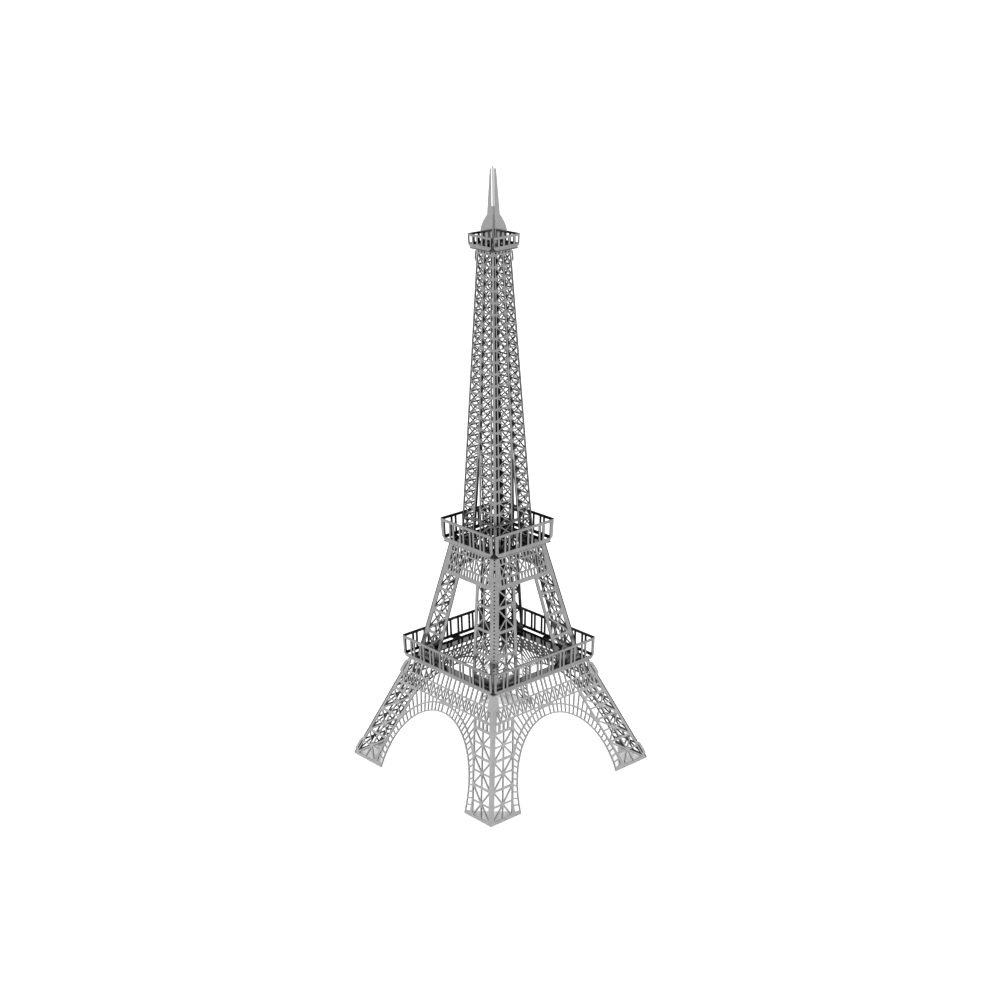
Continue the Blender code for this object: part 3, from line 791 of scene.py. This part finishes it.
def steel(name, skin, roughness, inside=None, cut=None, back=None,
          uneven=0.08, metallic=1.0, edge=1.0):
    """Steel sheet of the shade skin, with a faint mottle, fine pitting and upright
    rolling streaks.  With inside and cut, the side that faces the axis takes the
    shade inside, a painted shade, and the edges take the shade cut.  With back, the
    colour turns to it in the foot of the leg at the back corner, a painted reflection.
    An edge below 1 darkens the shine at grazing angles."""
    material = bpy.data.materials.new(name)
    wires = Wiring(material)
    wires.feed(wires.surface.inputs["Metallic"], metallic)
    wires.feed(wires.surface.inputs["Specular Tint"], (edge, edge, edge, 1))
    place = wires.nodes.new("ShaderNodeNewGeometry")
    position = place.outputs["Position"]
    mottle = wires.noise(position, *MOTTLE)
    pitting = wires.noise(position, *PITTING)
    streak = wires.noise(wires.scaled(position, STREAK_STRETCH), *STREAK)

    shade = wires.remap(mottle, *NOISE_SPAN, (1 - uneven) * skin, (1 + uneven) * skin)
    specks = wires.remap(pitting, *NOISE_SPAN, 1 - uneven, 1 + uneven)
    shade = wires.maths("MULTIPLY", shade, specks)
    # Painted shade: the side that faces the tower's axis takes the dark shade inside.
    if inside is not None:
        away = away_from_axis(wires, place)
        to_cut = wires.remap(away, *FACING, cut / skin, 1.0)
        to_inside_painted_shade = wires.remap(away, -FACING[1], -FACING[0], inside / cut, 1.0)
        shade = wires.maths("MULTIPLY", shade, wires.maths("MULTIPLY", to_cut, to_inside_painted_shade))
    # Painted reflection: the colour turns to back in the foot of the back leg.
    if back is not None:
        to_painted_reflection = wires.remap(back_leg_painted_reflection(wires, place), 0.0, 1.0, 1.0, back / skin)
        shade = wires.maths("MULTIPLY", shade, to_painted_reflection)
    colour = wires.nodes.new("ShaderNodeCombineColor")
    for channel in ("Red", "Green", "Blue"):
        wires.feed(colour.inputs[channel], shade)
    wires.feed(wires.surface.inputs["Base Color"], colour.outputs[0])

    gloss = wires.remap(streak, *NOISE_SPAN,
                        (1 - GLOSS_UNEVEN) * roughness, (1 + GLOSS_UNEVEN) * roughness)
    wires.feed(wires.surface.inputs["Roughness"], gloss)
    bump = wires.nodes.new("ShaderNodeBump")
    wires.feed(bump.inputs["Strength"], BUMP_STRENGTH)
    wires.feed(bump.inputs["Distance"], BUMP_DEPTH * MM)
    wires.feed(bump.inputs["Height"], streak)
    wires.feed(wires.surface.inputs["Normal"], bump.outputs["Normal"])
    return material


# ---------------------------------------------------------------- studio

SKY = 1.1                       # brightness of the even white light all round
FLOOR_GLOW = 0.5                # a lit floor, so that shadows on it stay faint
FLOOR_PAINT = 0.95
FLOOR_ROUGHNESS = 0.9
FLOOR_REACH = 60                # half of the floor's side, in heights of the tower
FLOOR_DROP = 0.02               # how far the floor is below the tower's feet


def studio():
    """A white floor, and even white light."""
    height = (CAD_BOX[1] - CAD_BOX[0]).z
    mesh = bpy.data.meshes.new("floor")
    reach = FLOOR_REACH * height
    corners = [(-reach, -reach, 0), (reach, -reach, 0), (reach, reach, 0), (-reach, reach, 0)]
    mesh.from_pydata(corners, [], [(0, 1, 2, 3)])
    floor = bpy.data.objects.new("floor", mesh)
    floor.location.z = -FLOOR_DROP * MM
    bpy.context.scene.collection.objects.link(floor)
    paint = bpy.data.materials.new("floor_paint")
    paint.use_nodes = True
    surface = paint.node_tree.nodes["Principled BSDF"]
    surface.inputs["Base Color"].default_value = (FLOOR_PAINT, FLOOR_PAINT, FLOOR_PAINT, 1)
    surface.inputs["Roughness"].default_value = FLOOR_ROUGHNESS
    surface.inputs["Emission Color"].default_value = (1, 1, 1, 1)
    surface.inputs["Emission Strength"].default_value = FLOOR_GLOW
    mesh.materials.append(paint)

    world = bpy.data.worlds.new("studio")
    bpy.context.scene.world = world
    world.use_nodes = True
    light = world.node_tree.nodes["Background"]
    light.inputs["Color"].default_value = (1, 1, 1, 1)
    light.inputs["Strength"].default_value = SKY
    bpy.context.scene.view_settings.view_transform = "Standard"


CAMERA_AZIMUTH = math.radians(48.522)
CAMERA_ELEVATION = math.radians(19.344)
CAMERA_ROLL = math.radians(-0.683)
CAMERA_TARGET = 3 / 7           # height of the point looked at, as a share of the tower's
CAMERA_DISTANCE = 2.9219        # in heights of the tower
CAMERA_LENS = 64.47
CAMERA_SENSOR = 36.0
CAMERA_SHIFT = (0.0029, 0.0188)
CAMERA_NEAR = 0.01              # in metres


def camera():
    """The photo's view, from a fit to points of the photo."""
    low, high = Vector(CAD_BOX[0]), Vector(CAD_BOX[1])
    height = high.z - low.z
    back = Vector((math.sin(CAMERA_AZIMUTH) * math.cos(CAMERA_ELEVATION),
                   -math.cos(CAMERA_AZIMUTH) * math.cos(CAMERA_ELEVATION),
                   math.sin(CAMERA_ELEVATION)))
    right = Vector((0, 0, 1)).cross(back).normalized()
    up = back.cross(right)
    turned_right = right * math.cos(CAMERA_ROLL) + up * math.sin(CAMERA_ROLL)
    turned_up = up * math.cos(CAMERA_ROLL) - right * math.sin(CAMERA_ROLL)
    target = Vector((0, 0, low.z + CAMERA_TARGET * height))
    data = bpy.data.cameras.new("camera")
    data.sensor_width = CAMERA_SENSOR
    data.lens = CAMERA_LENS
    data.shift_x, data.shift_y = CAMERA_SHIFT
    data.clip_start = CAMERA_NEAR
    view = bpy.data.objects.new("camera", data)
    turn = Matrix((turned_right, turned_up, back)).transposed()
    view.matrix_world = Matrix.Translation(target + back * CAMERA_DISTANCE * height) @ turn.to_4x4()
    bpy.context.scene.collection.objects.link(view)
    bpy.context.scene.camera = view


# ---------------------------------------------------------------- the model

# The shells' inner sides are coloured near black: a painted shade for the dark inside of the tower.
INNER_PAINTED_SHADE = steel("inside_painted_shade", skin=0.04, roughness=0.3)
CUT = steel("cut_steel", skin=0.04, roughness=0.3)
LOWER_SKINS = (steel("lower_steel", skin=0.36, roughness=0.3), INNER_PAINTED_SHADE, CUT)
# The lower back shell's inner side: the same painted shade, with a painted reflection that lightens it
# in the foot of the back leg.
LOWER_BACK_SKINS = (LOWER_SKINS[0], steel("lower_inside_painted_shade_and_reflection", skin=0.04, roughness=0.3, back=0.7), CUT)
MIDDLE_SKINS = (steel("middle_steel", skin=0.235, roughness=0.26), INNER_PAINTED_SHADE, CUT)
UPPER_SKINS = (steel("upper_steel", skin=0.21, roughness=0.26), INNER_PAINTED_SHADE, CUT)
# Rails: the side that faces the axis is coloured dark, a painted shade.
RAILING_PAINTED_SHADE = steel("rail_painted_shade_steel", skin=0.21, roughness=0.32, inside=0.03, cut=0.07)
FIRST_DECKING = steel("first_deck_steel", skin=0.1, roughness=0.12, uneven=0.12)
UPPER_DECKING = steel("upper_deck_steel", skin=0.06, roughness=0.06, uneven=0.03)
# Foot plates: coloured near white, painted light that keeps them bright in the shade inside the legs.
FOOTING_PAINTED_LIGHT = steel("foot_painted_light_steel", skin=0.95, roughness=0.4, uneven=0.05, metallic=0.5)
SPIRE = steel("spire_steel", skin=0.24, roughness=0.12, uneven=0.04, edge=0.4)

# Each row: name, stage, outline, holes, holes of the front shell only, eyes of the front
# shell's corner tabs, skins of the front shell, skins of the back shell.
STAGES = (("lower", LOWER, lower_outline, lower_holes(), [], LOWER_EYES,
           LOWER_SKINS, LOWER_BACK_SKINS),
          ("middle", MIDDLE, middle_outline, middle_holes(), [], (),
           MIDDLE_SKINS, MIDDLE_SKINS),
          ("upper", UPPER, upper_outline, upper_holes(), upper_ladder(), UPPER_EYES,
           UPPER_SKINS, UPPER_SKINS))
for stage_name, stage, outline, holes, front_only, eyes, skins, back_skins in STAGES:
    shell(f"{stage_name}_shell_front", stage, True, outline(True), holes + front_only, eyes, skins)
    shell(f"{stage_name}_shell_back", stage, False, outline(False), holes, (), back_skins)

# The CAD's own pieces that are shown, by a part of their names.
CARRIED = {"_rail_": RAILING_PAINTED_SHADE, "first_deck": FIRST_DECKING, "second_deck": UPPER_DECKING,
           "top_deck": UPPER_DECKING, "foot_plate": FOOTING_PAINTED_LIGHT, "spire_plate": SPIRE}
for node_name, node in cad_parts.items():
    for key, material in CARRIED.items():
        if key in node_name:
            node.data.materials.clear()
            node.data.materials.append(material)

studio()
camera()
